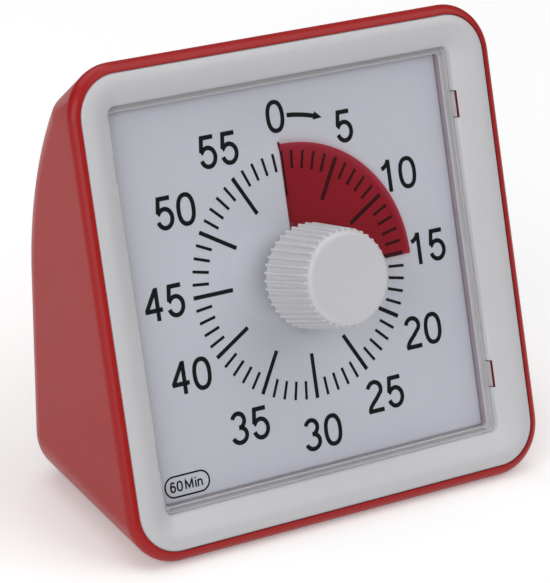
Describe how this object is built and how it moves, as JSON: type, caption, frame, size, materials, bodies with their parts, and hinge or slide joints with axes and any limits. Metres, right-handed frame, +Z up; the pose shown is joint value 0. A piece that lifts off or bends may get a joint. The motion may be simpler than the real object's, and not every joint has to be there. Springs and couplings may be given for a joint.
{
  "type": "countdown timer",
  "caption": "Visual countdown timer with a sloping square dial, a red disc that shows the minutes left, a fluted setting knob and a red wedge-shaped case.",
  "frame": {"origin": "middle of the footprint on the table, at the level of the rubber feet", "axes": "+X to the right and -Y forward as one faces the dial, +Z up"},
  "size_m": [0.14, 0.0733, 0.1285],
  "materials": {
    "case_plastic": "satin",
    "frame_plastic": "satin",
    "clear_plastic": "polished clear",
    "card_board": "matte",
    "tray_plastic": "matte",
    "disc_red": "matte",
    "knob_plastic": "satin",
    "movement_plastic": "matte",
    "wheel_plastic": "matte",
    "steel": "satin",
    "spring_steel": "bright",
    "brass": "satin",
    "copper_wire": "lacquered",
    "board_green": "satin",
    "black_plastic": "satin",
    "cell_jacket": "gloss",
    "lead_jacket": "satin",
    "foot_rubber": "matte"
  },
  "bodies": {
    "root": {"rear_housing": "case_plastic", "front_bezel": "frame_plastic", "window": "clear_plastic", "dial_card": "card_board", "dial_tray": "tray_plastic", "movement_front_case": "movement_plastic", "movement_rear_case": "movement_plastic", "stator_plate": "steel", "drive_coil": "copper_wire", "circuit_board": "board_green", "control_chip": "black_plastic", "quartz_crystal": "spring_steel", "sound_disc": "brass", "sound_ring": "black_plastic", "battery_cell": "cell_jacket", "contact_spring": "spring_steel", "contact_plate": "spring_steel", "switch_body": "black_plastic", "case_screws": "steel", "tray_screws": "steel", "movement_screws": "steel", "rubber_feet": "foot_rubber", "battery_leads": "lead_jacket", "sound_leads": "lead_jacket", "switch_leads": "lead_jacket"},
    "knob_body": {"knob": "knob_plastic", "spindle": "steel", "disc_hub": "wheel_plastic", "time_disc": "disc_red", "clutch_washer": "brass", "time_wheel": "wheel_plastic"},
    "idler_body": {"idler_wheel": "wheel_plastic"},
    "rotor_body": {"rotor_wheel": "steel"},
    "door_body": {"battery_door": "case_plastic"},
    "slider_body": {"switch_slider": "black_plastic"}
  },
  "joints": [
    {"name": "knob_turn", "type": "hinge", "parent": "root", "child": "knob_body", "pos_m": [0, -0.00185, 0.06264], "axis": [0, 0.915, -0.4035], "range_deg": [-90, 270], "deforming": ["time_disc"]},
    {"name": "idler_turn", "type": "hinge", "parent": "root", "child": "idler_body", "pos_m": [-0.01245, 0.01141, 0.07039], "axis": [0, 0.915, -0.4035], "range_deg": [-1080, 360]},
    {"name": "rotor_turn", "type": "hinge", "parent": "root", "child": "rotor_body", "pos_m": [-0.01805, 0.00575, 0.05756], "axis": [0, 0.915, -0.4035], "range_deg": [-1440, 4320]},
    {"name": "door_tilt", "type": "hinge", "parent": "root", "child": "door_body", "pos_m": [0, 0.02712, 0.01201], "axis": [-1, 0, 0], "range_deg": [0, 95]},
    {"name": "switch_slide", "type": "slide", "parent": "root", "child": "slider_body", "axis": [-1, 0, 0], "range_m": [0, 0.004]}
  ],
  "couplings": [
    {"joint": "idler_turn", "follows": "knob_turn", "ratio": -4},
    {"joint": "rotor_turn", "follows": "knob_turn", "ratio": 16}
  ]
}
